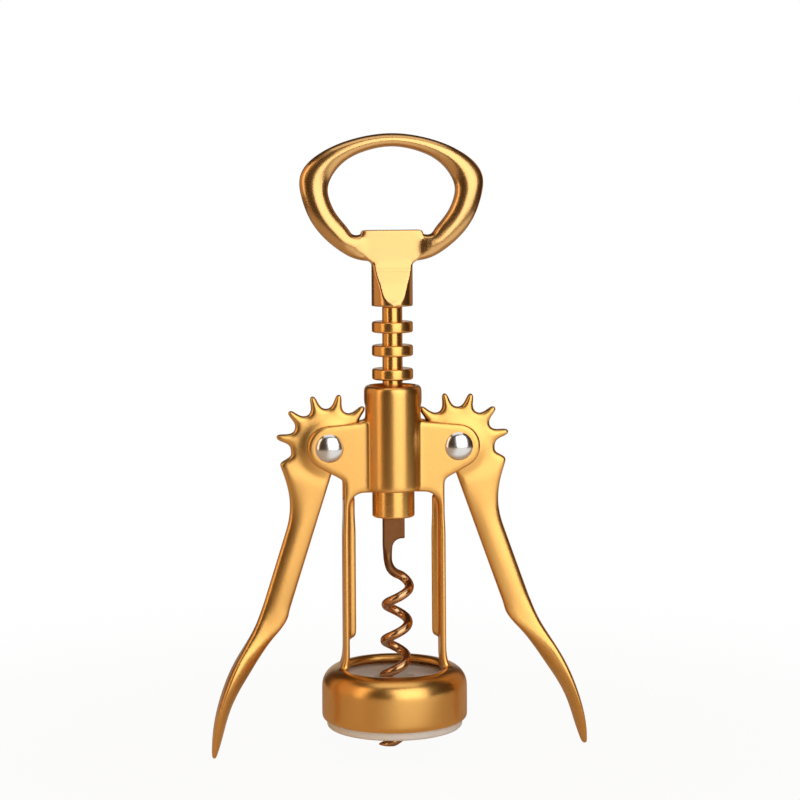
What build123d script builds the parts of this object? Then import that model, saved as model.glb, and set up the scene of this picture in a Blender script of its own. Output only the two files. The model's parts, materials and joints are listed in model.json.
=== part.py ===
"""Winged corkscrew with a crown-cap opener handle: thirteen separate pieces in the pose of the photograph.

X runs across the two levers, Y from front to back, Z up. The origin is the centre of the bottle seat's mouth:
Z = 0 is the lip that rests on the bottle, and the worm's axis is the Z axis. All sizes are in millimetres and
all angles in degrees.
"""
from build123d import *
from math import acos, atan2, cos, dist, hypot, pi, radians, sin, sqrt
import os

os.makedirs("parts", exist_ok=True)

# Fits and clearances
slide_clearance = 0.05
press_clearance = 0.02
seat_clearance = 0.15
lever_side_play = 0.10
tooth_clearance = 0.30

# Rack and gear
rack_pitch = 6.16
gear_teeth_per_turn = 12
ring_thickness = 2.9
ring_radius = 5.4
ring_edge_bevel = 0.4
core_radius = 2.65
ring_count = 7
tooth_tip_radius = 14.1
tooth_tip_round = 0.95
tooth_root_half_width = 1.5
gear_root_radius = 9.9
gear_valley_round = 1.3
gear_under_cut = 2.0
teeth_on_lever = 7
pitch_radius = rack_pitch * gear_teeth_per_turn / (2 * pi)
tooth_step = 360 / gear_teeth_per_turn

# Levers, measured in a lever that hangs straight down: outward and down from its pivot
lever_open = 18.6
lever_lag = 1.05
lever_thickness = 3.4
lever_boss_radius = 6.3
lever_boss_rise = 0.25
first_tooth_angle = 95.5
heel_out = 11.1
heel_down = 7.8
heel_root_out = 8.1
heel_root_down = 4.5
arm_inner = 2.85
arm_outer = 4.2
arm_neck_down = 24.0
arm_neck_round = 0.25
arm_end_down = 44.0
arm_edge_round = 0.7
# Thumb paddle: down from the pivot, outer face, inner face, width and edge rounding
paddle_sections = (
    (49.0, 4.45, -2.1, 3.7, 0.8),
    (54.0, 5.25, -0.25, 4.8, 0.9),
    (61.0, 6.8, 1.75, 7.4, 1.2),
    (69.0, 7.6, 3.75, 9.3, 1.5),
    (77.0, 7.25, 4.2, 8.8, 1.3),
    (83.0, 6.1, 4.0, 6.8, 0.9),
)
paddle_end_down = 85.9
paddle_end_outer = 5.35
paddle_end_inner = 4.0
paddle_end_width = 3.8
paddle_end_round = 0.5

# Pivots and rivets
rack_line_radius = 5.175
pivot_half_span = pitch_radius + rack_line_radius
pivot_above_lip = 73.1
rivet_radius = 2.0
rivet_head_radius = 3.55
rivet_head_height = 2.3
rivet_tenon_radius = 1.3
rivet_tenon_length = 1.4

# Frame casting
plate_depth = 7.6
ear_radius = 5.8
ear_top_above_pivot = 7.4
ear_under_pivot = 8.6
ear_under_round = 1.8
leg_inset = 5.8
leg_thickness = 1.36
leg_flare_height = 5.0
leg_flare_out = 3.2
leg_flare_in = 0.75
arch_under_pivot = 11.8
arch_round = 4.0
rib_width = 1.75
rib_depth = 1.6
rib_bottom_above_rim = 7.3
rib_end_round = 1.5
barrel_radius = 7.6
barrel_bore_radius = 5.95
barrel_above_pivot = 16.0
barrel_below_pivot = 11.5
barrel_top_round = 1.2

# Bell and bottle seat
bottle_bore_radius = 14.8
seat_wall = 2.25
bell_wall = 1.8
bell_radius = bottle_bore_radius + seat_wall + seat_clearance + bell_wall
bell_height = 13.5
bell_shoulder_round = 4.9
bell_rim_round = 1.4
bell_mouth_round = 0.8
lip_inset = 1.3
lip_radius = bell_radius - lip_inset
lip_height = 2.1
lip_round = 0.8
seat_disc_drop = 1.2
seat_disc_thickness = 1.6
worm_hole_radius = 5.3

# Spindle, stud and handle
collar_radius = 5.55
collar_length = 8.0
collar_bevel = 0.4
neck_gap_above_ring = 4.0
stud_radius = 1.5
stud_reach = 10.5
stud_end_gap = 0.3
neck_radius = 5.43
neck_length = 11.2
facet_start = 1.3
web_thickness = 3.8
opener_height = 34.1
opener_half_width = 24.1
opener_widest_below_top = 11.7
opener_thickness = 5.8
opener_round_share = 0.92
upper_sections = 3
lower_sections = 4
opener_bar_top = 3.5
opener_bar_side = 7.4
opener_hip_above_neck = 7.4
opener_hip_half_width = 18.4
hole_widest_below_top = 14.1
tab_below_top = 25.35
tab_half_width = 8.2
tab_notch_width = 2.9
tab_notch_depth = 0.15
tab_corner_round = 1.0
web_end_half_width = 6.6
web_end_gap = 0.6
web_corner_rise = 2.0
bar_end_share = 0.74

# Worm
wire_radius = 1.22
worm_outer_radius = 4.2
worm_pitch = 9.4
worm_turns = 4.5
worm_tip_below_lip = 4.8
coil_start_below_lip = 6.0
worm_lean = 0.04
worm_tip_offset = -0.6
shank_width = 5.8
shank_thickness = 1.7
shank_shown = 8.2
shank_tail_length = 2.6
shank_socket_depth = 6.5
shank_notch_radius = 2.4
shank_wire_offset = 1.6
worm_pin_radius = 0.8
worm_pin_up = 4.0

# Heights that follow from the sizes above
# The play between teeth and rings lets the right lever stand a little further open than the left one
right_open = radians(lever_open + lever_lag)
lip_z = 0
pivot_z = lip_z + pivot_above_lip
bell_bottom_z = lip_z + lip_height
bell_top_z = bell_bottom_z + bell_height
shoulder_z = bell_top_z - bell_shoulder_round
slot_half = lever_thickness / 2 + lever_boss_rise + lever_side_play
slot_radius = tooth_tip_radius + tooth_clearance
leg_outer = bell_radius - leg_inset
leg_inner = leg_outer - leg_thickness
barrel_top_z = pivot_z + barrel_above_pivot
barrel_bottom_z = pivot_z - barrel_below_pivot
# A tooth each side of a ring: the ring nearest the pivots sits midway between two teeth of the open lever
mesh_angle = (90 + first_tooth_angle - lever_open) % tooth_step - tooth_step / 2
mesh_ring_z = pivot_z + pitch_radius * radians(mesh_angle)
rings_below_pivot = 1
collar_top_z = mesh_ring_z - (rings_below_pivot + 1) * rack_pitch + ring_thickness / 2
collar_bottom_z = collar_top_z - collar_length
top_ring_z = mesh_ring_z + (ring_count - 1 - rings_below_pivot) * rack_pitch
neck_bottom_z = top_ring_z + ring_thickness / 2 + neck_gap_above_ring
loop_bottom_z = neck_bottom_z + neck_length
loop_top_z = loop_bottom_z + opener_height


def tangent_point(start, centre, radius, side):
    """Where a line from start touches a circle; side is +1 or -1."""
    along_x = start[0] - centre[0]
    along_y = start[1] - centre[1]
    angle = atan2(along_y, along_x) + side * acos(radius / hypot(along_x, along_y))
    return (centre[0] + radius * cos(angle), centre[1] + radius * sin(angle))


# Frame: barrel, ears, legs and bell are one casting
pivot = (pivot_half_span, pivot_z)
ear_top = (0, pivot_z + ear_top_above_pivot)
ear_under = (leg_outer, pivot_z - ear_under_pivot)
ear_upper_touch = tangent_point(ear_top, pivot, ear_radius, -1)
ear_lower_touch = tangent_point(ear_under, pivot, ear_radius, 1)
ear_end = (pivot_half_span + ear_radius, pivot_z)
arch_z = pivot_z - arch_under_pivot
leg_foot_z = shoulder_z + bell_shoulder_round / 2
with BuildPart() as frame:
    with BuildSketch(Plane.XZ):
        with BuildLine():
            Polyline(ear_top, ear_upper_touch)
            ThreePointArc(ear_upper_touch, ear_end, ear_lower_touch)
            leg_side = Polyline(ear_lower_touch, ear_under, (leg_outer, bell_top_z + leg_flare_height))
            flare = TangentArc(
                leg_side @ 1, (leg_outer + leg_flare_out, leg_foot_z), tangent=(0, -1)
            )
            foot = Line(flare @ 1, (leg_inner + leg_flare_in, leg_foot_z))
            Spline(
                foot @ 1, (leg_inner, bell_top_z + leg_flare_height / 2),
                tangents=((0, 1), (0, 1)), tangent_scalars=(0.5, 0.5),
            )
            inner = Line(
                (leg_inner, bell_top_z + leg_flare_height / 2), (leg_inner, arch_z - arch_round)
            )
            arch = RadiusArc(inner @ 1, (leg_inner - arch_round, arch_z), -arch_round)
            Polyline(arch @ 1, (0, arch_z), ear_top)
        outline = make_face()
        fillet(outline.vertices().sort_by_distance(ear_under)[0], radius=ear_under_round)
        mirror(about=Plane.YZ)
    extrude(amount=plate_depth / 2, both=True)
    with BuildSketch(Plane.XZ):
        rib_bottom_z = bell_top_z + rib_bottom_above_rim
        with Locations((leg_inner, rib_bottom_z)):
            rib = Rectangle(rib_width, arch_z - rib_bottom_z, align=(Align.MAX, Align.MIN))
        fillet(rib.vertices().group_by(Axis.Z)[0].sort_by(Axis.X)[0], radius=rib_end_round)
        mirror(about=Plane.YZ)
    extrude(amount=rib_depth / 2, both=True)
    with Locations((0, 0, barrel_bottom_z)):
        Cylinder(
            barrel_radius, barrel_top_z - barrel_bottom_z, align=(Align.CENTER, Align.CENTER, Align.MIN)
        )
    fillet(frame.edges().filter_by(GeomType.CIRCLE).sort_by(Axis.Z)[-1], radius=barrel_top_round)
    with BuildSketch(Plane.XZ):
        with BuildLine():
            mouth = CenterArc(
                (bell_radius - bell_mouth_round, bell_bottom_z + bell_mouth_round), bell_mouth_round, -90, 90
            )
            Line(mouth @ 1, (bell_radius, shoulder_z))
            crown_radius = bell_radius - bell_shoulder_round
            CenterArc((crown_radius, shoulder_z), bell_shoulder_round, 0, 90)
            rim = CenterArc((crown_radius, bell_top_z - bell_rim_round), bell_rim_round, 90, 90)
            ceiling_z = bell_top_z - bell_wall
            Polyline(rim @ 1, (crown_radius - bell_rim_round, ceiling_z), (crown_radius, ceiling_z))
            CenterArc((crown_radius, shoulder_z), bell_shoulder_round - bell_wall, 0, 90)
            Polyline(
                (bell_radius - bell_wall, shoulder_z), (bell_radius - bell_wall, bell_bottom_z), mouth @ 0
            )
        make_face()
    revolve(axis=Axis.Z)
    bore_bottom_z = min(arch_z, barrel_bottom_z)
    with Locations((0, 0, bore_bottom_z)):
        Cylinder(
            barrel_bore_radius, barrel_top_z - bore_bottom_z,
            align=(Align.CENTER, Align.CENTER, Align.MIN), mode=Mode.SUBTRACT,
        )
    with BuildSketch(Plane.XZ):
        with Locations((-pivot_half_span, pivot_z), pivot):
            Circle(slot_radius)
    extrude(amount=slot_half, both=True, mode=Mode.SUBTRACT)
    with BuildSketch(Plane.XZ):
        with Locations((-pivot_half_span, pivot_z), pivot):
            Circle(rivet_radius + press_clearance)
    extrude(amount=plate_depth, both=True, mode=Mode.SUBTRACT)
frame.part.label = "frame"
export_step(frame.part, "parts/frame.step")

# Plastic seat in the bell: a cup that grips the bottle's lip, with a hole for the worm
sleeve_radius = bottle_bore_radius + seat_wall
seat_shoulder_round = bell_shoulder_round - bell_wall - seat_clearance
disc_top_z = bell_top_z - bell_wall - seat_disc_drop
disc_under_z = disc_top_z - seat_disc_thickness
disc_edge_radius = crown_radius + sqrt(seat_shoulder_round**2 - (disc_top_z - shoulder_z) ** 2)
with BuildPart() as bottle_seat:
    with BuildSketch(Plane.XZ):
        with BuildLine():
            lip_edge = CenterArc((lip_radius - lip_round, lip_z + lip_round), lip_round, -90, 90)
            Polyline(
                lip_edge @ 1, (lip_radius, bell_bottom_z), (sleeve_radius, bell_bottom_z),
                (sleeve_radius, shoulder_z),
            )
            RadiusArc((sleeve_radius, shoulder_z), (disc_edge_radius, disc_top_z), -seat_shoulder_round)
            Polyline(
                (disc_edge_radius, disc_top_z), (worm_hole_radius, disc_top_z),
                (worm_hole_radius, disc_under_z), (bottle_bore_radius, disc_under_z),
                (bottle_bore_radius, lip_z), lip_edge @ 0,
            )
        make_face()
    revolve(axis=Axis.Z)
bottle_seat.part.label = "bottle_seat"
export_step(bottle_seat.part, "parts/bottle_seat.step")

# Levers: the right one is drawn in its own plane, the left one is its mirror image turned by the lag
lever_plane = Plane(
    origin=(pivot_half_span, 0, pivot_z), x_dir=(cos(right_open), 0, sin(right_open)), z_dir=(0, -1, 0)
)
half_thickness = lever_thickness / 2


def bar_section(plane, width, depth, rounding):
    """A rectangle with rounded corners, drawn from the same corner each time so that lofts don't twist."""
    side = width / 2
    edge = depth / 2
    with BuildSketch(plane) as section:
        with BuildLine():
            for way in (1, -1):
                corner = (way * side, way * (edge - rounding))
                turn = (way * (side - rounding), way * edge)
                far = (way * (rounding - side), way * edge)
                Line((way * side, way * (rounding - edge)), corner)
                RadiusArc(corner, turn, -rounding)
                Line(turn, far)
                RadiusArc(far, (-way * side, way * (edge - rounding)), -rounding)
        make_face()
    return section.sketch


def lever_section(down, outer, inner, width, rounding):
    """The lever's section this far down from its pivot, between its outer and inner faces."""
    centre = lever_plane.from_local_coords(((outer + inner) / 2, -down, 0))
    plane = Plane(origin=centre, x_dir=lever_plane.x_dir, z_dir=-lever_plane.y_dir)
    return bar_section(plane, outer - inner, width, rounding)


with BuildPart() as right_lever:
    with BuildSketch(lever_plane) as gear:
        Circle(gear_root_radius)
        tooth_circle_radius = tooth_tip_radius - tooth_tip_round
        root_reach = sqrt(gear_root_radius**2 - tooth_root_half_width**2)
        for tooth in range(teeth_on_lever):
            tooth_angle = 90 - first_tooth_angle + tooth * tooth_step
            with Locations(Rotation(0, 0, tooth_angle)):
                with Locations((tooth_circle_radius, 0)):
                    Circle(tooth_tip_round)
                Polygon(
                    (0, -tooth_root_half_width), (root_reach, -tooth_root_half_width),
                    (tooth_circle_radius, -tooth_tip_round), (tooth_circle_radius, tooth_tip_round),
                    (root_reach, tooth_root_half_width), (0, tooth_root_half_width),
                    align=None,
                )
        valleys = [
            corner for corner in gear.vertices()
            if abs(hypot(corner.X, corner.Y) - gear_root_radius) < slide_clearance
        ]
        fillet(valleys[1:-1], radius=gear_valley_round)
        with Locations((-arm_inner, -gear_under_cut)):
            Rectangle(tooth_tip_radius, tooth_tip_radius, align=Align.MAX, mode=Mode.SUBTRACT)
        with BuildLine():
            outer_edge = Spline(
                (heel_out, -heel_down), (arm_outer, -arm_neck_down),
                tangents=((-0.8, -1), (0, -1)),
            )
            Polyline(
                outer_edge @ 1, (-arm_inner, -arm_neck_down), (-arm_inner, 0), (0, 0),
                (heel_root_out, -heel_root_down), (heel_out, -heel_down),
            )
        make_face()
    extrude(amount=half_thickness, both=True)
    arm_neck = lever_section(arm_neck_down, arm_outer, -arm_inner, lever_thickness, arm_neck_round)
    arm_end = lever_section(arm_end_down, arm_outer, -arm_inner, lever_thickness, arm_edge_round)
    paddle_end = lever_section(
        paddle_end_down, paddle_end_outer, paddle_end_inner, paddle_end_width, paddle_end_round
    )
    loft([arm_neck, arm_end])
    loft([arm_end, *(lever_section(*sizes) for sizes in paddle_sections), paddle_end])
    with BuildSketch(lever_plane):
        Circle(lever_boss_radius)
    extrude(amount=half_thickness + lever_boss_rise, both=True)
    with BuildSketch(lever_plane):
        Circle(rivet_radius + slide_clearance)
    extrude(amount=lever_thickness, both=True, mode=Mode.SUBTRACT)
right_lever.part.label = "right_lever"
export_step(right_lever.part, "parts/right_lever.step")

with BuildPart() as left_lever:
    left_pivot = Axis((-pivot_half_span, 0, pivot_z), (0, 1, 0))
    add(right_lever.part.mirror(Plane.YZ).rotate(left_pivot, -2 * lever_lag))
left_lever.part.label = "left_lever"
export_step(left_lever.part, "parts/left_lever.step")

# Rivets: a domed head with a post in front, a domed cap pressed on its tenon behind
dome_radius = (rivet_head_radius**2 + rivet_head_height**2) / (2 * rivet_head_height)
face_y = plate_depth / 2


def rivet_profile(centre_x, post):
    """Half section of the headed post, or of the rear cap, from the pivot's axis outwards."""
    way = -1 if post else 1
    base_y = way * face_y
    crown = (centre_x, base_y + way * rivet_head_height)
    rim_point = (centre_x + rivet_head_radius, base_y)
    with BuildLine() as profile:
        RadiusArc(crown, rim_point, way * dome_radius)
        if post:
            Polyline(
                rim_point, (centre_x + rivet_radius, base_y), (centre_x + rivet_radius, face_y),
                (centre_x + rivet_tenon_radius, face_y),
                (centre_x + rivet_tenon_radius, face_y + rivet_tenon_length),
                (centre_x, face_y + rivet_tenon_length), crown,
            )
        else:
            socket_radius = rivet_tenon_radius + press_clearance
            socket_end = face_y + rivet_tenon_length + press_clearance
            Polyline(
                rim_point, (centre_x + socket_radius, base_y), (centre_x + socket_radius, socket_end),
                (centre_x, socket_end), crown,
            )
    return profile.line


for side_name, centre_x in (("left", -pivot_half_span), ("right", pivot_half_span)):
    for piece_name, post in (("rivet_post", True), ("rivet_cap", False)):
        with BuildPart() as rivet:
            with BuildSketch(Plane.XY.offset(pivot_z)):
                with BuildLine():
                    add(rivet_profile(centre_x, post))
                make_face()
            revolve(axis=Axis((centre_x, 0, pivot_z), (0, 1, 0)))
        rivet.part.label = f"{side_name}_{piece_name}"
        export_step(rivet.part, f"parts/{side_name}_{piece_name}.step")

# Rack spindle: a core with rings that the levers' teeth climb, ending in the collar that holds the worm
with BuildPart() as rack_spindle:
    with BuildSketch(Plane.XZ):
        with Locations((0, collar_top_z)):
            Rectangle(core_radius, neck_bottom_z - collar_top_z, align=(Align.MIN, Align.MIN))
        for ring in range(ring_count):
            with Locations((0, top_ring_z - ring * rack_pitch)):
                disc = Rectangle(ring_radius, ring_thickness, align=(Align.MIN, Align.CENTER))
            chamfer(disc.vertices().group_by(Axis.X)[-1], length=ring_edge_bevel)
        with Locations((0, collar_bottom_z)):
            collar = Rectangle(collar_radius, collar_length, align=(Align.MIN, Align.MIN))
        chamfer(collar.vertices().group_by(Axis.X)[-1], length=collar_bevel)
    revolve(axis=Axis.Z)
    with Locations((0, 0, neck_bottom_z - stud_reach - stud_end_gap)):
        Cylinder(
            stud_radius + slide_clearance, stud_reach + stud_end_gap,
            align=(Align.CENTER, Align.CENTER, Align.MIN), mode=Mode.SUBTRACT,
        )
    with Locations((0, 0, collar_bottom_z)):
        Box(
            shank_width + 2 * press_clearance, shank_thickness + 2 * press_clearance, shank_socket_depth,
            align=(Align.CENTER, Align.CENTER, Align.MIN), mode=Mode.SUBTRACT,
        )
    pin_z = collar_bottom_z + worm_pin_up
    with Locations(Location((0, 0, pin_z), (90, 0, 0))):
        Cylinder(worm_pin_radius + press_clearance, 2 * collar_radius, mode=Mode.SUBTRACT)
rack_spindle.part.label = "rack_spindle"
export_step(rack_spindle.part, "parts/rack_spindle.step")

# Steel stud on the axis, half in the handle's neck and half in the spindle
with BuildPart() as spindle_stud:
    with Locations((0, 0, neck_bottom_z)):
        Cylinder(stud_radius, 2 * stud_reach)
spindle_stud.part.label = "spindle_stud"
export_step(spindle_stud.part, "parts/spindle_stud.step")

# Opener handle: a rounded loop with a cap-lifting tab, on a round neck with a facet front and back
hole_top_z = loop_top_z - opener_bar_top
hole_half_width = opener_half_width - opener_bar_side
hole_widest_z = loop_top_z - hole_widest_below_top
loop_widest_z = loop_top_z - opener_widest_below_top
tab_z = loop_top_z - tab_below_top
notch_z = tab_z - tab_notch_depth
notch_outer = tab_half_width + tab_notch_width


def loop_section(outer, inner, depth):
    """The loop's section from its outer edge to the edge of its hole."""
    across = inner - outer
    plane = Plane(origin=(outer + inner) * 0.5, x_dir=across, z_dir=(-across.Z, 0, across.X))
    return bar_section(plane, across.length, depth, opener_round_share * min(across.length, depth) / 2)


with BuildLine(Plane.XZ):
    outer_upper = Spline(
        (0, loop_top_z), (opener_half_width, loop_widest_z),
        tangents=((1, 0), (0, -1)), tangent_scalars=(1.25, 0.62),
    )
    outer_lower = Spline(
        outer_upper @ 1, (opener_hip_half_width, loop_bottom_z + opener_hip_above_neck),
        (neck_radius, loop_bottom_z), tangents=((0, -1), (-1, -0.2)),
    )
    hole_upper = Spline(
        (0, hole_top_z), (hole_half_width, hole_widest_z),
        tangents=((1, 0), (0, -1)), tangent_scalars=(1.3, 0.75),
    )
    hole_lower = Spline(hole_upper @ 1, (notch_outer, notch_z), tangents=((0, -1), (-0.7, -1)))
loop_sizes = []
for step in range(upper_sections):
    share = step / upper_sections
    loop_sizes.append((outer_upper @ share, hole_upper @ share, opener_thickness))
for step in range(lower_sections + 1):
    share = step / lower_sections
    loop_sizes.append((outer_lower @ (share * bar_end_share), hole_lower @ share, opener_thickness))
web_end_low = Vector(web_end_half_width, 0, loop_bottom_z + web_end_gap)
web_end_high = Vector(web_end_half_width, 0, notch_z)
loop_sizes.append((web_end_low, web_end_high, web_thickness - web_end_gap))
loop_sections = [loop_section(*sizes) for sizes in loop_sizes]
for outer, inner, depth in loop_sizes[1:]:
    mirrored = loop_section(Vector(-outer.X, 0, outer.Z), Vector(-inner.X, 0, inner.Z), depth)
    loop_sections.insert(0, mirrored)
with BuildPart() as opener_handle:
    loft(loop_sections)
    with BuildSketch(Plane.XZ):
        web = Polygon(
            (-neck_radius, loop_bottom_z), (neck_radius, loop_bottom_z),
            (tab_half_width, loop_bottom_z + web_corner_rise), (tab_half_width, tab_z),
            (-tab_half_width, tab_z), (-tab_half_width, loop_bottom_z + web_corner_rise),
            align=None,
        )
        fillet(web.vertices().group_by(Axis.Z)[-1], radius=tab_corner_round)
    extrude(amount=web_thickness / 2, both=True)
    with Locations((0, 0, neck_bottom_z)):
        Cylinder(neck_radius, neck_length, align=(Align.CENTER, Align.CENTER, Align.MIN))
    for way in (-1, 1):
        with BuildSketch(Plane.YZ):
            Polygon(
                (way * web_thickness / 2, loop_bottom_z),
                (way * (neck_radius + tooth_clearance), neck_bottom_z + facet_start),
                (way * 2 * neck_radius, neck_bottom_z + facet_start),
                (way * 2 * neck_radius, loop_bottom_z),
                align=None,
            )
        extrude(amount=2 * neck_radius, both=True, mode=Mode.SUBTRACT)
    with Locations((0, 0, neck_bottom_z)):
        Cylinder(
            stud_radius + slide_clearance, stud_reach + stud_end_gap,
            align=(Align.CENTER, Align.CENTER, Align.MIN), mode=Mode.SUBTRACT,
        )
opener_handle.part.label = "opener_handle"
export_step(opener_handle.part, "parts/opener_handle.step")

# Worm: one unbroken wire wound to the right, ground to a point below and flattened to a shank above
coil_radius = worm_outer_radius - wire_radius
ground_z = lip_z - worm_tip_below_lip
coil_bottom_z = lip_z - coil_start_below_lip


def coil_point(turns):
    """Centre of the wire this many turns above the point, which lies on the left."""
    angle = pi + 2 * pi * turns
    rise = worm_pitch * turns
    return Vector(
        coil_radius * cos(angle) + worm_lean * rise + worm_tip_offset, coil_radius * sin(angle),
        coil_bottom_z + rise,
    )


def coil_tangent(turns):
    """Direction of the wire there."""
    angle = pi + 2 * pi * turns
    climb = worm_pitch / (2 * pi)
    return Vector(
        worm_lean * climb - coil_radius * sin(angle), coil_radius * cos(angle), climb
    ).normalized()


def biarc(start, start_way, end, end_way):
    """Two tangent arcs from start to end that leave and arrive in the given directions."""
    chord = end - start
    spread = 2 * (1 - start_way.dot(end_way))
    along = chord.dot(start_way + end_way)
    reach = (sqrt(along**2 + spread * chord.dot(chord)) - along) / spread
    first_corner = start + start_way * reach
    second_corner = end - end_way * reach
    middle = (first_corner + second_corner) * 0.5
    TangentArc(start, middle, tangent=start_way)
    TangentArc(middle, end, tangent=second_corner - first_corner)


shank_bottom_z = collar_bottom_z - shank_shown
wire_top = Vector(-shank_wire_offset, 0, shank_bottom_z - shank_tail_length)
quarter_turns = int(4 * worm_turns)
with BuildPart() as worm:
    with BuildLine() as wire_path:
        for quarter in range(quarter_turns):
            biarc(
                coil_point(quarter / 4), coil_tangent(quarter / 4),
                coil_point((quarter + 1) / 4), coil_tangent((quarter + 1) / 4),
            )
        biarc(coil_point(quarter_turns / 4), coil_tangent(quarter_turns / 4), wire_top, Vector(0, 0, 1))
    samples_per_turn = 40
    samples = int(samples_per_turn * (worm_turns + 1))
    track = [tuple(wire_path.wires()[0] @ (step / samples)) for step in range(samples + 1)]
    least_gap = min(
        dist(near, far) - 2 * wire_radius
        for index, near in enumerate(track) for far in track[index + samples_per_turn // 2:]
    )
    print(f"worm wire, least gap to itself: {least_gap:.2f} mm")
    with BuildSketch(Plane(origin=coil_point(0), z_dir=coil_tangent(0))):
        Circle(wire_radius)
    sweep()
    with Locations((0, 0, ground_z)):
        Box(
            4 * worm_outer_radius, 4 * worm_outer_radius, 4 * wire_radius,
            align=(Align.CENTER, Align.CENTER, Align.MAX), mode=Mode.SUBTRACT,
        )
    with BuildSketch(Plane.XZ):
        shank_top_z = collar_bottom_z + shank_socket_depth - seat_clearance
        with BuildLine():
            tail_right = wire_radius - shank_wire_offset
            tail_left = -wire_radius - shank_wire_offset
            notch_start = (tail_right + shank_notch_radius, shank_bottom_z + shank_notch_radius)
            notch_end = (tail_right, shank_bottom_z)
            RadiusArc(notch_start, notch_end, -shank_notch_radius)
            Polyline(
                notch_end, (tail_right, wire_top.Z), (tail_left, wire_top.Z),
                (-shank_width / 2, shank_bottom_z), (-shank_width / 2, shank_top_z),
                (shank_width / 2, shank_top_z),
                (shank_width / 2, shank_bottom_z + shank_notch_radius), notch_start,
            )
        make_face()
    extrude(amount=shank_thickness / 2, both=True)
    with Locations(Location((0, 0, pin_z), (90, 0, 0))):
        Cylinder(worm_pin_radius + press_clearance, 2 * collar_radius, mode=Mode.SUBTRACT)
worm.part.label = "worm"
export_step(worm.part, "parts/worm.step")

# Cross pin through the collar and the worm's shank, flush with the collar
with BuildPart() as worm_pin:
    pin_length = 2 * sqrt(collar_radius**2 - worm_pin_radius**2)
    with Locations(Location((0, 0, pin_z), (90, 0, 0))):
        Cylinder(worm_pin_radius, pin_length)
worm_pin.part.label = "worm_pin"
export_step(worm_pin.part, "parts/worm_pin.step")
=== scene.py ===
"""Looks of the winged corkscrew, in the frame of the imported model; lengths are in metres.

Finishes, softened castings, a turned spindle, the studio and the photograph's camera.
"""
import json
import math

import bmesh
import bpy
import numpy
from mathutils import Matrix, Vector

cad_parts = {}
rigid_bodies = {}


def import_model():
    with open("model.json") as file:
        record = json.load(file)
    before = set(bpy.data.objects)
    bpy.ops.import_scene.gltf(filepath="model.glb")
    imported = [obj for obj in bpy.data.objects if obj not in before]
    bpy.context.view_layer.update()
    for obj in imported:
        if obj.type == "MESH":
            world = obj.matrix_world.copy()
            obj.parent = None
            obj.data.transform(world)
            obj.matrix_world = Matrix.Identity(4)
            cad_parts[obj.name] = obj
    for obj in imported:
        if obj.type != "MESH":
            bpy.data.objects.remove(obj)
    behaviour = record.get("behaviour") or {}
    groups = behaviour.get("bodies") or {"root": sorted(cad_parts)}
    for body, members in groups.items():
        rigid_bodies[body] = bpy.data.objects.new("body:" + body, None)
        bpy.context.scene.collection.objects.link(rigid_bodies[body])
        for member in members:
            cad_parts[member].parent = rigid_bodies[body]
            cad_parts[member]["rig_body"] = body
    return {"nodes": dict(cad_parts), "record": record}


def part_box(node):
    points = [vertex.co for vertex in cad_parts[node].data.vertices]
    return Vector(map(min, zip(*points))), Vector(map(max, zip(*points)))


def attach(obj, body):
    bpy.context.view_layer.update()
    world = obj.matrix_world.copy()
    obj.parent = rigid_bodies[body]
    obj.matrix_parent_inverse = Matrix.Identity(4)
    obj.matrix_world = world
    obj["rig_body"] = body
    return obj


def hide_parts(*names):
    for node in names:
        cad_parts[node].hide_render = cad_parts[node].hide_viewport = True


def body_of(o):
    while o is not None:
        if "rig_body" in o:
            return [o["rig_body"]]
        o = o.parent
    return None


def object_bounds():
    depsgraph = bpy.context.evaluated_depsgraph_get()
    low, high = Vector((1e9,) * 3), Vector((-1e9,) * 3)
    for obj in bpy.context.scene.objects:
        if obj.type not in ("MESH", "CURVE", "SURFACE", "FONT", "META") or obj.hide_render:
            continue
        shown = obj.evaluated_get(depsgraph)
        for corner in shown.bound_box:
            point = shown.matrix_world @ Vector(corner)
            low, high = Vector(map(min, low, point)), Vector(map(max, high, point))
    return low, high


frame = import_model()
cad_low, cad_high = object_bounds()

# How far each lever stands open, in degrees: -1 is the left one and 1 the right one.
LEVER_OPENING = {-1: 17.55, 1: 19.65}
TEETH_TO_A_TURN = 12

# How far the flats on the handle's neck lie from its middle, at heights above the neck's end.
TONGUE_HEIGHTS = (
    0.0008, 0.0010, 0.0012, 0.0018, 0.0027, 0.0039, 0.0057, 0.0069, 0.0092, 0.0116, 0.0117,
)
TONGUE_DEPTHS = (
    0.0090, 0.0054, 0.00522, 0.00498, 0.00467, 0.00444, 0.00402, 0.00370, 0.00310, 0.00245, 0.0090,
)

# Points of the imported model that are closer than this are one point.
SEAM = 0.000002
# Passes that blend a corner, the weight below which a point isn't blended, and each pass's share.
BLEND_PASSES = 60
LEAST_BLEND = 0.01
PASS_SHARE = 0.5

# Colours of the finishes, each from its darker to its lighter patches.
CAST_GOLD = ((0.80, 0.410, 0.098), (0.87, 0.470, 0.125), (0.92, 0.515, 0.152))
TURNED_GOLD = ((0.85, 0.455, 0.118, 1), (0.91, 0.510, 0.148, 1))
CHROME = ((0.74, 0.73, 0.71, 1), (0.82, 0.81, 0.79, 1))
BRIGHT_COPPER = ((0.54, 0.285, 0.125, 1), (0.70, 0.400, 0.195, 1))
DULL_COPPER = ((0.15, 0.060, 0.020, 1), (0.22, 0.090, 0.032, 1))
STEEL = ((0.42, 0.41, 0.40, 1), (0.58, 0.57, 0.55, 1))
PLASTIC = ((0.80, 0.77, 0.72, 1), (0.87, 0.84, 0.79, 1))
CREAM_PAPER = ((0.82, 0.66, 0.50, 1), (0.86, 0.71, 0.55, 1))
DIM_ROOM = (0.055, 0.030, 0.016, 1)
WHITE = (1.0, 1.0, 1.0, 1)

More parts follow.
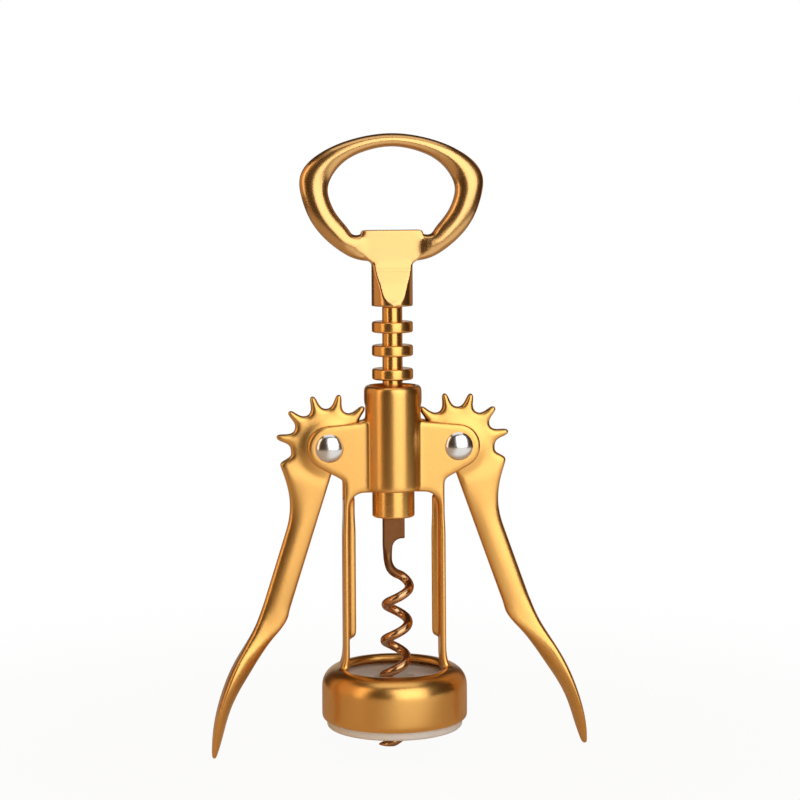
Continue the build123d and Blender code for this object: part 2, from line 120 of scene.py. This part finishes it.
# Name, azimuth, elevation, distance, width, height, brightness and tint of each lamp.
LAMPS = (
    ("key_right", 21, 20, 0.9, 0.86, 1.04, 2.05, (1.0, 1.0, 1.0)),
    ("fill_left", -102, 16, 0.9, 0.90, 1.0, 0.58, (1.0, 0.62, 0.36)),
    ("strip_left", -62, 18, 0.9, 0.26, 1.0, 1.8, (1.0, 0.76, 0.54)),
    ("fill_right", 128, 15, 0.9, 0.6, 0.8, 0.36, (1.0, 0.62, 0.36)),
    ("overhead", 2, 78, 0.7, 0.7, 0.4, 1.0, (1.0, 1.0, 1.0)),
)


class Value:
    """One output of a node tree. Sums and products of values add their own Math nodes."""

    def __init__(self, sheet, socket):
        self.sheet = sheet
        self.socket = socket

    def maths(self, operation, first, second):
        sockets = {"Value": first, "Value_001": second}
        return self.sheet.node("ShaderNodeMath", {"operation": operation}, sockets)["Value"]

    def __add__(self, other):
        return self.maths("ADD", self, other)

    def __sub__(self, other):
        return self.maths("SUBTRACT", self, other)

    def __rsub__(self, other):
        return self.maths("SUBTRACT", other, self)

    def __mul__(self, other):
        return self.maths("MULTIPLY", self, other)

    def most(self, other):
        return self.maths("MAXIMUM", self, other)

    __radd__ = __add__
    __rmul__ = __mul__


class Sheet:
    """A node tree that is filled one node at a time."""

    def __init__(self, tree):
        self.tree = tree
        tree.nodes.clear()

    def node(self, kind, settings=None, sockets=None):
        """Adds a node, sets it up, fills or links its sockets; gives its outputs by identifier."""
        made = self.tree.nodes.new(kind)
        for name, value in (settings or {}).items():
            setattr(made, name, value)
        entries = {entry.identifier: entry for entry in made.inputs}
        for name, value in (sockets or {}).items():
            if isinstance(value, Value):
                self.tree.links.new(value.socket, entries[name])
            else:
                entries[name].default_value = value
        return {output.identifier: Value(self, output) for output in made.outputs}

    def noise(self, place, scale, detail=2.0, roughness=0.5):
        """Noise from 0 to 1 with this many features to the metre."""
        return self.node(
            "ShaderNodeTexNoise", {"noise_dimensions": "3D"},
            {"Vector": place, "Scale": scale, "Detail": detail, "Roughness": roughness},
        )["Fac"]

    def between(self, share, low, high):
        """A colour between two others."""
        return self.node(
            "ShaderNodeMix", {"data_type": "RGBA"},
            {"Factor_Float": share, "A_Color": low, "B_Color": high},
        )["Result_Color"]

    def ramp(self, value, start, end):
        """0 below start, 1 above end, smooth between them."""
        return self.node(
            "ShaderNodeMapRange", {"interpolation_type": "SMOOTHSTEP"},
            {"Value": value, "From Min": start, "From Max": end, "To Min": 0.0, "To Max": 1.0},
        )["Result"]

    def stretched(self, place, scale):
        """Coordinates drawn out or squeezed along X, Y and Z."""
        return self.node("ShaderNodeMapping", None, {"Vector": place, "Scale": scale})["Vector"]

    def bump(self, height, distance, below=None):
        """A surface normal from heights of this many metres."""
        sockets = {"Height": height, "Distance": distance, "Strength": 1.0}
        if below is not None:
            sockets["Normal"] = below
        return self.node("ShaderNodeBump", None, sockets)["Normal"]


class Finish(Sheet):
    """A named material."""

    def __init__(self, name):
        self.material = bpy.data.materials.new(name)
        self.material.use_nodes = True
        super().__init__(self.material.node_tree)
        self.place = self.node("ShaderNodeTexCoord")["Object"]

    def done(self, **sockets):
        """Shades the material; a socket's name is written with _ for each space."""
        inputs = {name.replace("_", " "): value for name, value in sockets.items()}
        shader = self.node("ShaderNodeBsdfPrincipled", None, inputs)
        self.node("ShaderNodeOutputMaterial", None, {"Surface": shader["BSDF"]})
        return self.material


def plated_gold(name, dullness, grit, depth, lacquer):
    """Gold plating on a casting: soft sheen, faint clouds of colour, a very fine grain.

    The dullness is its least roughness, the grit the height of its grain, the depth a factor on
    its colours and the lacquer the weight of a clear coat.
    """
    gold = Finish(name)
    clouds = gold.noise(gold.place, scale=55.0, detail=3.0)
    grain = gold.noise(gold.place, scale=5200.0, roughness=0.6)
    patches = gold.noise(gold.place, scale=420.0, detail=3.0, roughness=0.55)
    dark, middle, light = (
        (red * depth, green * depth, blue * depth, 1) for red, green, blue in CAST_GOLD
    )
    tone = gold.between(clouds, middle, light)
    colour = gold.between((grain - 0.5) * 0.5 + 0.3, tone, dark)
    rough = dullness + 0.03 * patches + 0.05 * grain
    normal = gold.bump(grain, grit, gold.bump(patches, grit * 0.3))
    return gold.done(
        Base_Color=colour, Metallic=1.0, Roughness=rough, Normal=normal,
        Coat_Weight=lacquer, Coat_Roughness=dullness, Coat_IOR=1.65,
    )


def turned_gold():
    """Gold plating on a turned surface: smoother, with faint lines round the axis."""
    gold = Finish("turned_gold")
    along_axis = gold.stretched(gold.place, (60.0, 60.0, 5200.0))
    lines = gold.noise(along_axis, scale=1.0, roughness=0.6)
    clouds = gold.noise(gold.place, scale=70.0, detail=3.0)
    return gold.done(
        Base_Color=gold.between(clouds, *TURNED_GOLD), Metallic=1.0,
        Roughness=0.21 + 0.06 * lines + 0.05 * clouds, Normal=gold.bump(lines, 0.0000006),
    )


def bright_chrome():
    """Polished chrome with a few fine scuffs."""
    chrome = Finish("bright_chrome")
    upright = chrome.stretched(chrome.place, (900.0, 900.0, 6000.0))
    scuffs = chrome.noise(upright, scale=1.0, roughness=0.7)
    clouds = chrome.noise(chrome.place, scale=300.0)
    return chrome.done(
        Base_Color=chrome.between(clouds, *CHROME), Metallic=1.0,
        Roughness=0.15 + 0.06 * scuffs + 0.04 * clouds, Normal=chrome.bump(scuffs, 0.000002),
    )


def copper_wire():
    """Copper-coloured plating on drawn wire, dull and brown on the hammered shank."""
    shank_end, shank_start = 0.0245, 0.0185
    copper = Finish("copper_wire")
    height = copper.node("ShaderNodeSeparateXYZ", None, {"Vector": copper.place})["Z"]
    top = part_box("worm")[1].z
    shank = copper.ramp(height, top - shank_end, top - shank_start)
    drawn = copper.noise(copper.place, scale=1600.0, detail=3.0, roughness=0.6)
    stains = copper.noise(copper.place, scale=260.0, detail=3.0, roughness=0.6)
    bright = copper.between(stains, *BRIGHT_COPPER)
    dull = copper.between(stains, *DULL_COPPER)
    return copper.done(
        Base_Color=copper.between(shank, bright, dull), Metallic=1.0,
        Roughness=0.16 + 0.12 * drawn + 0.10 * shank, Normal=copper.bump(drawn, 0.000002),
    )


def plain_steel():
    """Bare steel with a ground face."""
    steel = Finish("plain_steel")
    crosswise = steel.stretched(steel.place, (4000.0, 400.0, 400.0))
    ground = steel.noise(crosswise, scale=1.0, roughness=0.6)
    return steel.done(
        Base_Color=steel.between(ground, *STEEL), Metallic=1.0,
        Roughness=0.25 + 0.15 * ground, Normal=steel.bump(ground, 0.000003),
    )


def milky_plastic():
    """Moulded milky plastic with a soft gloss and slight flow marks."""
    plastic = Finish("milky_plastic")
    flattened = plastic.stretched(plastic.place, (1.0, 1.0, 3.0))
    flow = plastic.noise(flattened, scale=120.0, detail=3.0)
    pores = plastic.noise(plastic.place, scale=2600.0)
    return plastic.done(
        Base_Color=plastic.between(flow, *PLASTIC), Roughness=0.30 + 0.14 * flow,
        Normal=plastic.bump(pores, 0.000008), Subsurface_Weight=0.15, Subsurface_Scale=0.002,
    )


def dress(name, material):
    """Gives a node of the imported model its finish."""
    node = frame["nodes"][name]
    node.data.materials.clear()
    node.data.materials.append(material)


def linked(name, data):
    """A new object in the scene."""
    made = bpy.data.objects.new(name, data)
    bpy.context.scene.collection.objects.link(made)
    return made


def shown(name, mesh, body, slot, *nodes):
    """Puts a finished mesh in the scene on a body, in place of these nodes."""
    piece = linked(name, mesh)
    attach(piece, body)
    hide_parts(*nodes)


def settled(piece, name):
    """The mesh that an object's modifiers make; the object itself goes."""
    graph = bpy.context.evaluated_depsgraph_get()
    mesh = bpy.data.meshes.new_from_object(
        piece.evaluated_get(graph), preserve_all_data_layers=True, depsgraph=graph
    )
    mesh.name = name
    bpy.data.objects.remove(piece)
    return mesh


def closed_copy(node_name, material):
    """A copy of a node as one closed mesh, in an object that modifiers can work on."""
    node = frame["nodes"][node_name]
    work = bmesh.new()
    work.from_mesh(node.data)
    work.transform(node.matrix_world)
    bmesh.ops.remove_doubles(work, verts=work.verts, dist=SEAM)
    work.verts.index_update()
    points = [tuple(point.co) for point in work.verts]
    faces = [[point.index for point in face.verts] for face in work.faces]
    work.free()
    plain = bpy.data.meshes.new(node_name + "_plain")
    plain.from_pydata(points, [], faces)
    plain.polygons.foreach_set("use_smooth", [True] * len(plain.polygons))
    plain.materials.append(material)
    return linked(node_name + "_plain", plain)


def points_of(mesh):
    """The points of a mesh as rows of X, Y and Z."""
    points = numpy.empty(len(mesh.vertices) * 3)
    mesh.vertices.foreach_get("co", points)
    return points.reshape(-1, 3)


def eased(value, start, end):
    """0 before start, 1 after end, smooth between them, for rows of numbers."""
    share = numpy.clip((value - start) / (end - start), 0.0, 1.0)
    return share * share * (3.0 - 2.0 * share)


def reach(along, value, step):
    """The greatest value in each point's slice, the piece being cut in slices along its length."""
    slices = numpy.round((along - along.min()) / step).astype(int)
    most = numpy.full(slices.max() + 1, -numpy.inf)
    numpy.maximum.at(most, slices, value)
    places = numpy.arange(len(most))
    found = numpy.isfinite(most)
    most = numpy.interp(places, places[found], most[found])
    return numpy.interp((along - along.min()) / step, places, most)


def side_share(along, across, step):
    """How far each point lies to one side of a bar, from -1 to 1, and half the bar's width."""
    high = reach(along, across, step)
    low = -reach(along, -across, step)
    half = (high - low) / 2
    return numpy.clip((across - (low + high) / 2) / half, -1.0, 1.0), half


def as_drawn(points):
    """Leaves the form as it is."""
    return points


def nowhere(points):
    """No corner to blend."""
    return numpy.zeros(len(points))


def cast(
    node_name, material, slot, face, passes,
    shape=as_drawn, blend=nowhere, outline_kept=False, faces_kept=1.0,
):
    """A node as a soft casting: even fine faces, its form worked over, edges and corners blended.

    The face is one face's width, and the passes smooth the whole. The shape moves the points and
    the blend weighs the corners, which move only front to back where the outline is kept.
    """
    piece = closed_copy(node_name, material)
    cover = piece.modifiers.new("cover", "REMESH")
    cover.mode = "VOXEL"
    cover.voxel_size = face
    cover.use_smooth_shade = True
    mesh = settled(piece, node_name + "_cast")
    points = shape(points_of(mesh))
    mesh.vertices.foreach_set("co", points.ravel())
    mesh.update()
    piece = linked(node_name + "_cast", mesh)
    corners = piece.vertex_groups.new(name="corners")
    for index, weight in enumerate(blend(points)):
        if weight > LEAST_BLEND:
            corners.add([index], weight, "REPLACE")
    for name, group, times in (("corners", "corners", BLEND_PASSES), ("skin", "", passes)):
        smooth = piece.modifiers.new(name, "SMOOTH")
        smooth.factor = PASS_SHARE
        smooth.iterations = times
        smooth.vertex_group = group
    blending = piece.modifiers["corners"]
    blending.use_x = blending.use_z = not outline_kept
    if faces_kept < 1.0:
        piece.modifiers.new("faces", "DECIMATE").ratio = faces_kept
        piece.modifiers.new("flats", "WEIGHTED_NORMAL")
    mesh = settled(piece, node_name + "_soft")
    mesh.materials.clear()
    mesh.materials.append(material)
    body = body_of(frame["nodes"][node_name])[0]
    shown(node_name + "_soft", mesh, body, slot, node_name)


def cast_frame(material):
    """The frame with full, flat-fronted legs."""
    foot, head = (0.0165, 0.0195), (0.050, 0.056)
    leg_from_axis, leg_core, fuller = 0.0118, 0.0006, 0.0002

    def shape(points):
        across = numpy.abs(points[:, 0])
        leg = eased(points[:, 2], *foot) * (1.0 - eased(points[:, 2], *head))
        wider = fuller * leg * numpy.clip((across - leg_from_axis) / leg_core, -1.0, 1.0)
        points[:, 0] += numpy.sign(points[:, 0]) * wider
        return points

    cast("frame", material, "gold", face=0.00024, passes=0, shape=shape, faces_kept=0.38)


def cast_lever(side, material):
    """A lever with a crowned arm, a boss set off by a step, slender teeth and a slanted paddle.

    The side is -1 for the left one and 1 for the right one. Down runs along the arm from the
    pivot and out runs across it, away from the barrel.
    """
    node_name = "left_lever" if side < 0 else "right_lever"
    joints = frame["record"]["behaviour"]["joints"]
    pivot = next(joint for joint in joints if joint["name"] == node_name + "_pivot")["pos_m"]
    opening = math.radians(LEVER_OPENING[side])
    slice_length = 0.001
    crown, crown_start, crown_end = 0.40, (0.007, 0.024), (0.041, 0.050)
    paddle_start, paddle_run, slant, slant_power = 0.0495, 0.0095, 0.55, 1.7
    step_height, step_edge, step_end, core_depth = 0.0002, (0.0070, 0.0075), (0.006, 0.011), 0.0008
    tip_radius, slimness = 0.0125, 0.14
    tooth_rise, tooth_end = (0.0100, 0.0122), (0.0, 0.004)

    def shape(points):
        right = (points[:, 0] - pivot[0]) * side
        up = points[:, 2] - pivot[2]
        down = right * math.sin(opening) - up * math.cos(opening)
        out = right * math.cos(opening) + up * math.sin(opening)
        share, half = side_share(down, out, slice_length)

        crowned = crown * eased(down, *crown_start) * (1.0 - eased(down, *crown_end))
        points[:, 1] *= 1.0 - crowned * share * share

        depth = numpy.abs(points[:, 1])
        front = depth / reach(down, depth, slice_length)
        paddle = numpy.clip((down - paddle_start) / paddle_run, 0.0, 1.0)
        moved = (1.0 - share) * half * paddle * slant * front**slant_power
        right = right + moved * math.cos(opening)
        up = up + moved * math.sin(opening)
        radius = numpy.hypot(right, up)

        step = step_height * eased(radius, *step_edge) * (1.0 - eased(down, *step_end))
        points[:, 1] -= numpy.clip(points[:, 1] / core_depth, -1.0, 1.0) * step

        angle = numpy.arctan2(up, right)
        tips = (radius > tip_radius) & (down < 0.0)
        phase = numpy.angle(numpy.exp(1j * TEETH_TO_A_TURN * angle[tips]).sum())
        off = numpy.angle(numpy.exp(1j * (TEETH_TO_A_TURN * angle - phase))) / TEETH_TO_A_TURN
        slim = slimness * eased(radius, *tooth_rise) * (1.0 - eased(down, *tooth_end))
        angle = angle - off * slim
        points[:, 0] = pivot[0] + side * radius * numpy.cos(angle)
        points[:, 2] = pivot[2] + radius * numpy.sin(angle)
        return points

    cast(node_name, material, "gold", face=0.0003, passes=2, shape=shape)


def cast_handle(material):
    """The opener handle: a crowned loop that runs softly into the web, and a flat on the neck."""
    low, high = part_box("opener_handle")
    middle = high.z - 0.0150
    web_end = high.z - 0.0285
    crease_z = high.z - 0.0340
    slice_angle, rim_share, drawn_round = 0.035, 0.985, 0.92
    crown, squareness = 0.46, 8
    loop_side, loop_foot = (0.007, 0.014), (-0.008, 0.0)
    notch_x, notch_z, notch_lift, notch_reach = 0.0098, web_end - 0.0002, 0.0006, 0.0034
    corner_x, corner_fade = 0.0095, (0.002, 0.0055)
    crease_fade, crease_side = (0.0008, 0.0030), (0.0035, 0.0050)

    def shape(points):
        rise = points[:, 2] - middle
        around = numpy.arctan2(points[:, 0], rise)
        share, half = side_share(around, numpy.hypot(points[:, 0], rise), slice_angle)
        depth = reach(around, numpy.abs(points[:, 1]), slice_angle)
        share = numpy.clip(numpy.abs(share), 0.0, rim_share)

        rounding = drawn_round * numpy.minimum(half, depth)
        turn = numpy.clip((share * half - half + rounding) / rounding, 0.0, 1.0)
        before = depth - rounding + rounding * numpy.sqrt(1.0 - turn * turn)
        edge = (1.0 - share**squareness) ** (1 / squareness)
        after = depth * (1.0 - crown * share**2) * edge
        loop = numpy.maximum(eased(numpy.abs(points[:, 0]), *loop_side), eased(rise, *loop_foot))
        points[:, 1] *= 1.0 + loop * (after / before - 1.0)

        flat = numpy.interp(points[:, 2] - low.z, TONGUE_HEIGHTS, TONGUE_DEPTHS)
        points[:, 1] = numpy.clip(points[:, 1], -flat, flat)

        notch = numpy.hypot(numpy.abs(points[:, 0]) - notch_x, points[:, 2] - notch_z)
        points[:, 2] += notch_lift * (1.0 - eased(notch, 0.0, notch_reach))
        return points

    def blend(points):
        across = numpy.abs(points[:, 0])
        corner = 1.0 - eased(numpy.hypot(across - corner_x, points[:, 2] - web_end), *corner_fade)
        crease = 1.0 - eased(numpy.abs(points[:, 2] - crease_z), *crease_fade)
        return numpy.maximum(corner, crease * (1.0 - eased(across, *crease_side)))

    cast(
        "opener_handle", material, "gold", face=0.0003, passes=5,
        shape=shape, blend=blend, outline_kept=True,
    )


def forged_worm(material):
    """The worm with its flat shank drawn softly into the round wire."""
    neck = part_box("worm")[1].z - 0.0174
    neck_fade = (0.0010, 0.0035)

    def blend(points):
        return 1.0 - eased(numpy.abs(points[:, 2] - neck), *neck_fade)

    cast("worm", material, "worm_copper", face=0.00025, passes=2, blend=blend)


def flat_rivet(node_name, material):
    """A rivet with the shallow dome of a cold-formed head."""
    wider, flatter, rim, touching = 1.04, 0.58, 0.99, 0.000001
    sharp_angle = math.radians(30)
    piece = closed_copy(node_name, material)
    points = points_of(piece.data)
    low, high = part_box(node_name)
    middle = (low + high) * 0.5
    radius = numpy.hypot(points[:, 0] - middle.x, points[:, 2] - middle.z)
    depth = numpy.abs(points[:, 1])
    base = depth[radius > radius.max() * rim].min()
    head = depth >= base - touching
    for axis, centre in ((0, middle.x), (2, middle.z)):
        spread = centre + (points[:, axis] - centre) * wider
        points[:, axis] = numpy.where(head, spread, points[:, axis])
    depth = numpy.where(head, base + (depth - base) * flatter, depth)
    points[:, 1] = numpy.copysign(depth, points[:, 1])
    piece.data.vertices.foreach_set("co", points.ravel())
    piece.data.update()
    mesh = settled(piece, node_name + "_head")
    mesh.set_sharp_from_angle(angle=sharp_angle)
    body = body_of(frame["nodes"][node_name])[0]
    shown(node_name + "_head", mesh, body, "rivet_chrome", node_name)


def turned_spindle(material):
    """The ringed spindle: turned rings at one pitch on a core, with the worm's collar below."""
    low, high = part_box("rack_spindle")
    group = bpy.data.node_groups.new("turned_spindle", "GeometryNodeTree")
    sizes = {
        "rings": 7, "pitch": 0.00616, "top ring below end": 0.00545,
        "ring radius": 0.0054, "ring thickness": 0.0029, "core radius": 0.00265,
        "collar radius": 0.00555, "collar length": 0.008, "edge round": 0.00055,
    }
    hub, steps_round, steps_on_edge = 0.0008, 96, 4
    for name, value in sizes.items():
        kind = "NodeSocketInt" if isinstance(value, int) else "NodeSocketFloat"
        group.interface.new_socket(name, in_out="INPUT", socket_type=kind)
    group.interface.new_socket("finish", in_out="INPUT", socket_type="NodeSocketMaterial")
    group.interface.new_socket("spindle", in_out="OUTPUT", socket_type="NodeSocketGeometry")
    sheet = Sheet(group)
    fed = sheet.node("NodeGroupInput")
    inlets = (item for item in group.interface.items_tree if item.in_out == "INPUT")
    entry = {item.name: item.identifier for item in inlets}
    size = {name: fed[identifier] for name, identifier in entry.items()}

    def disc(radius, length):
        """A disc on the axis with rounded edges, halfway up at height 0."""
        square = sheet.node(
            "GeometryNodeCurvePrimitiveQuadrilateral", None,
            {"Width": radius - hub, "Height": length},
        )["Curve"]
        outline = sheet.node(
            "GeometryNodeFilletCurve", {"mode": "POLY"},
            {"Curve": square, "Count": steps_on_edge, "Radius": size["edge round"]},
        )["Curve"]
        way_round = sheet.node(
            "GeometryNodeCurvePrimitiveCircle", None,
            {"Resolution": steps_round, "Radius": (radius + hub) * 0.5},
        )["Curve"]
        return sheet.node(
            "GeometryNodeCurveToMesh", None, {"Curve": way_round, "Profile Curve": outline}
        )["Mesh"]

    def at(height):
        return sheet.node("ShaderNodeCombineXYZ", None, {"Z": height})["Vector"]

    def raised(part, height):
        return sheet.node(
            "GeometryNodeTransform", None, {"Geometry": part, "Translation": at(height)}
        )["Geometry"]

    top = high.z - size["top ring below end"]
    line = sheet.node(
        "GeometryNodeMeshLine", None,
        {"Count": size["rings"], "Start Location": at(top), "Offset": at(0.0 - size["pitch"])},
    )["Mesh"]
    ring = disc(size["ring radius"], size["ring thickness"])
    rings = sheet.node(
        "GeometryNodeInstanceOnPoints", None, {"Points": line, "Instance": ring}
    )["Instances"]
    core_low = low.z + size["collar length"] * 0.5
    core = raised(disc(size["core radius"], high.z - core_low), (core_low + high.z) * 0.5)
    collar = raised(disc(size["collar radius"], size["collar length"]), core_low)
    joined = sheet.node("GeometryNodeJoinGeometry")["Geometry"]
    for part in (rings, core, collar):
        group.links.new(part.socket, joined.socket.node.inputs[0])
    whole = sheet.node("GeometryNodeRealizeInstances", None, {"Geometry": joined})["Geometry"]
    smooth = sheet.node("GeometryNodeSetShadeSmooth", None, {"Geometry": whole})["Geometry"]
    finished = sheet.node(
        "GeometryNodeSetMaterial", None, {"Geometry": smooth, "Material": size["finish"]}
    )["Geometry"]
    outlet = group.nodes.new("NodeGroupOutput")
    group.links.new(finished.socket, outlet.inputs[0])

    piece = linked("spindle_rule", bpy.data.meshes.new("spindle_rule"))
    rule = piece.modifiers.new("turned", "NODES")
    rule.node_group = group
    for name, value in {**sizes, "finish": material}.items():
        rule[entry[name]] = value
    piece.modifiers.new("flats", "WEIGHTED_NORMAL").keep_sharp = True
    mesh = settled(piece, "turned_spindle")
    shown("turned_spindle", mesh, "spindle", "gold", "rack_spindle")


def softbox(name, azimuth, elevation, distance, width, height, brightness, tint):
    """A soft lamp that faces the object; azimuth 0 is the front and 90 the right."""
    data = bpy.data.lights.new(name, "AREA")
    data.shape = "RECTANGLE"
    data.size = width
    data.size_y = height
    data.energy = brightness * math.pi * width * height
    data.color = tint
    lamp = linked(name, data)
    across = math.radians(azimuth)
    up = math.radians(elevation)
    way = Vector(
        (math.sin(across) * math.cos(up), -math.cos(across) * math.cos(up), math.sin(up))
    )
    lamp.location = (cad_low + cad_high) * 0.5 + way * distance
    lamp.rotation_euler = way.to_track_quat("Z", "Y").to_euler()


def mirrored(path):
    """1 where metal or glass sees the surroundings."""
    return path["Is Glossy Ray"].most(path["Is Transmission Ray"])


def white_room():
    """White for the camera. The metal sees a half-white panel behind and a dim room elsewhere."""
    panel_edge, panel_white = (0.92, 0.98), 0.55
    world = bpy.data.worlds.new("white_room")
    bpy.context.scene.world = world
    world.use_nodes = True
    room = Sheet(world.node_tree)
    way = room.node("ShaderNodeTexCoord")["Generated"]
    split = room.node("ShaderNodeSeparateXYZ", None, {"Vector": way})
    behind = room.ramp(split["Y"], *panel_edge)
    path = room.node("ShaderNodeLightPath")
    white = path["Is Camera Ray"].most(mirrored(path) * behind * panel_white)
    tone = room.between(white, DIM_ROOM, WHITE)
    shine = room.node("ShaderNodeBackground", None, {"Color": tone, "Strength": 1.0})
    room.node("ShaderNodeOutputWorld", None, {"Surface": shine["Background"]})


def pale_floor():
    """A round sheet of cream paper under the object.

    The camera sees it nearly white, with the object's shadow, which fades out to the edge. The
    metal mirrors a painted pool of light on it at the front right, and a dim glow elsewhere.
    """
    radius, edges = 0.36, 96
    # Where the painted pool of light lies on the floor, and how strongly the metal sees it glow.
    painted_pool_front, painted_pool_right, dim, painted_pool_strength = (0.040, 0.080), (-0.06, 0.01), 0.08, 0.80
    white_inside, whiter_outside, whitening = 0.95, 0.05, (0.06, 0.24)
    paper = Finish("white_paper")
    fibres = paper.noise(paper.place, scale=900.0)
    tone = paper.between(fibres, *CREAM_PAPER)
    lit = paper.node("ShaderNodeBsdfDiffuse", None, {"Color": tone})
    glow = paper.node("ShaderNodeEmission", None, {"Color": WHITE, "Strength": 1.0})
    path = paper.node("ShaderNodeLightPath")
    mirror = mirrored(path)
    spot = paper.node("ShaderNodeSeparateXYZ", None, {"Vector": paper.place})
    # A painted pool of light at the front right, seen only in the metal's reflections.
    bright = paper.ramp(0.0 - spot["Y"], *painted_pool_front) * paper.ramp(spot["X"], *painted_pool_right)
    seen = path["Is Camera Ray"].most(mirror * (dim + painted_pool_strength * bright))
    out = paper.node(
        "ShaderNodeVectorMath", {"operation": "LENGTH"}, {"Vector": paper.place}
    )["Value"]
    fade = white_inside + whiter_outside * paper.ramp(out, *whitening)
    both = paper.node(
        "ShaderNodeMixShader", None,
        {"Fac": seen * fade, "Shader": lit["BSDF"], "Shader_001": glow["Emission"]},
    )
    paper.node("ShaderNodeOutputMaterial", None, {"Surface": both["Shader"]})
    work = bmesh.new()
    ground = Matrix.Translation((0, 0, cad_low.z))
    bmesh.ops.create_circle(work, cap_ends=True, segments=edges, radius=radius, matrix=ground)
    mesh = bpy.data.meshes.new("floor")
    work.to_mesh(mesh)
    work.free()
    mesh.materials.append(paper.material)
    floor = linked("floor", mesh)


def photo_camera():
    """The photograph's view: a little from the left, level, with the picture shifted down."""
    azimuth = math.radians(-5.5)
    roll = math.radians(-0.36)
    distance = 0.600
    eye_above_lip = 0.1493
    pixels_per_metre = 3814.0
    axis_x, horizon_y, picture = 391.2, 155.0, 800.0
    data = bpy.data.cameras.new("photo_camera")
    data.sensor_width = 36.0
    data.lens = pixels_per_metre * distance / picture * data.sensor_width
    data.shift_x = (picture / 2 - axis_x) / picture
    data.shift_y = (horizon_y - picture / 2) / picture
    data.clip_start = 0.01
    camera = linked("photo_camera", data)
    ahead = Vector((-math.sin(azimuth), math.cos(azimuth), 0))
    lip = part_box("bottle_seat")[0].z
    eye = -ahead * distance + Vector((0, 0, lip + eye_above_lip))
    level = Matrix.Rotation(azimuth, 4, "Z") @ Matrix.Rotation(math.pi / 2, 4, "X")
    turn = level @ Matrix.Rotation(roll, 4, "Z")
    camera.matrix_world = Matrix.Translation(eye) @ turn
    bpy.context.scene.camera = camera


bpy.context.scene.view_settings.view_transform = "Standard"
satin = plated_gold("blasted_gold", dullness=0.245, grit=0.000010, depth=0.98, lacquer=0.08)
polished = plated_gold("polished_gold", dullness=0.21, grit=0.000002, depth=0.86, lacquer=1.0)
turned = turned_gold()
chrome = bright_chrome()
steel = plain_steel()
cast_frame(satin)
cast_lever(-1, satin)
cast_lever(1, satin)
cast_handle(polished)
turned_spindle(turned)
dress("worm_pin", turned)
for rivet in ("left_rivet_post", "left_rivet_cap", "right_rivet_post", "right_rivet_cap"):
    flat_rivet(rivet, chrome)
forged_worm(copper_wire())
dress("bottle_seat", milky_plastic())
dress("spindle_stud", steel)

white_room()
pale_floor()
for lamp in LAMPS:
    softbox(*lamp)
photo_camera()
